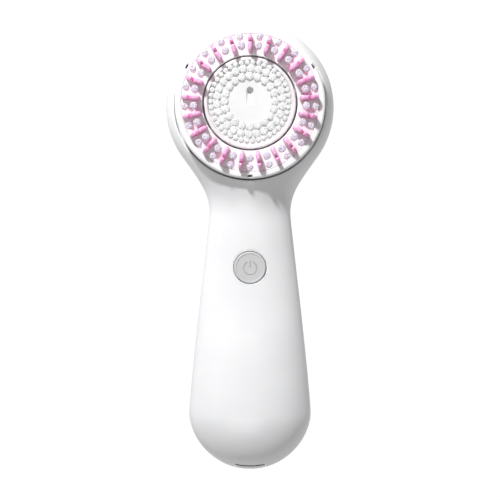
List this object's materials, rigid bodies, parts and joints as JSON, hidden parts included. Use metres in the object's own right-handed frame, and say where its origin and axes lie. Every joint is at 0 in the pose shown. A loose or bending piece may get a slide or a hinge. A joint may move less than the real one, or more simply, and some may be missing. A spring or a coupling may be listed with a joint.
{
  "type": "facial cleansing brush",
  "caption": "Cordless facial cleansing brush: smooth waisted handle with a power button, round head with a fixed ring of tufts around an oscillating inner brush.",
  "frame": {"origin": "centre of the bounding box in plan, at the lowest point of the back it lies on", "axes": "+Z out of the bristles, +Y along the handle towards the head, +X to the right seen from the bristle side"},
  "size_m": [0.0616, 0.1639, 0.0354],
  "materials": {
    "white_shell": "satin gloss",
    "white_ring": "satin gloss",
    "grey_button": "satin",
    "button_mark": "satin",
    "grey_rubber": "matt",
    "pink_fibre": "glossy, slightly translucent",
    "pearl_fibre": "soft gloss, slightly translucent",
    "white_fibre": "matt",
    "inner_plastic": "matt",
    "black_plastic": "matt",
    "board": "lacquered",
    "steel": "bright",
    "core_steel": "laminated",
    "magnet": "nickel plated",
    "bearing_bronze": "sintered",
    "coil_copper": "enamelled wire",
    "cell_wrap": "shrink sleeve",
    "cast_plate": "cast"
  },
  "bodies": {
    "body": {"front_housing": "white_shell", "rear_housing": "white_shell", "housing_gasket": "grey_rubber", "button_seal": "grey_rubber", "tact_switch": "black_plastic", "circuit_board": "board", "board_screws": "steel", "control_chips": "black_plastic", "battery_cell": "cell_wrap", "battery_cradle": "black_plastic", "battery_tabs": "steel", "charging_socket": "black_plastic", "stator_core": "core_steel", "stator_bobbin": "inner_plastic", "drive_coil": "coil_copper", "stator_screws": "steel", "rear_bearing": "bearing_bronze", "front_bearing": "bearing_bronze", "drive_bracket": "cast_plate", "bracket_screws": "steel", "drive_seal": "grey_rubber", "mount_collar": "inner_plastic", "collar_screws": "steel", "mount_seal": "grey_rubber"},
    "drive": {"armature": "core_steel", "armature_magnets": "magnet", "drive_spindle": "steel", "drive_hub": "inner_plastic"},
    "brush_head": {"outer_ring": "white_ring", "outer_bristle_base": "white_ring", "pink_tufts": "pink_fibre", "pearl_tufts": "pearl_fibre", "locking_lugs": "white_ring", "inner_retaining_ring": "white_ring"},
    "inner_brush": {"inner_carrier": "inner_plastic", "inner_bristle_plate": "white_ring", "inner_tufts": "white_fibre"},
    "button": {"power_button": "grey_button", "power_symbol": "button_mark"},
    "plunger": {"switch_plunger": "inner_plastic"},
    "cover": {"port_cover": "white_shell"}
  },
  "joints": [
    {"name": "drive_swing", "type": "hinge", "parent": "body", "child": "drive", "pos_m": [0, 0.051, 0.014], "axis": [0, 0, 1], "range_deg": [-8, 8], "stiffness_Nm_per_rad": 0.05},
    {"name": "brush_head_lift", "type": "slide", "parent": "body", "child": "brush_head", "axis": [0, 0, 1], "range_m": [0, 0.04]},
    {"name": "inner_brush_swing", "type": "hinge", "parent": "brush_head", "child": "inner_brush", "pos_m": [0, 0.051, 0.028], "axis": [0, 0, 1], "range_deg": [-8, 8]},
    {"name": "button_press", "type": "slide", "parent": "body", "child": "button", "axis": [0, 0, -1], "range_m": [0, 0.0004], "stiffness_N_per_m": 800, "springref_m": -0.0006},
    {"name": "plunger_press", "type": "slide", "parent": "body", "child": "plunger", "axis": [0, 0, -1], "range_m": [0, 0.0004]},
    {"name": "port_cover_pull", "type": "slide", "parent": "body", "child": "cover", "axis": [0, -1, 0], "range_m": [0, 0.015]}
  ],
  "couplings": [
    {"joint": "inner_brush_swing", "follows": "drive_swing", "ratio": 1},
    {"joint": "plunger_press", "follows": "button_press", "ratio": 1}
  ]
}
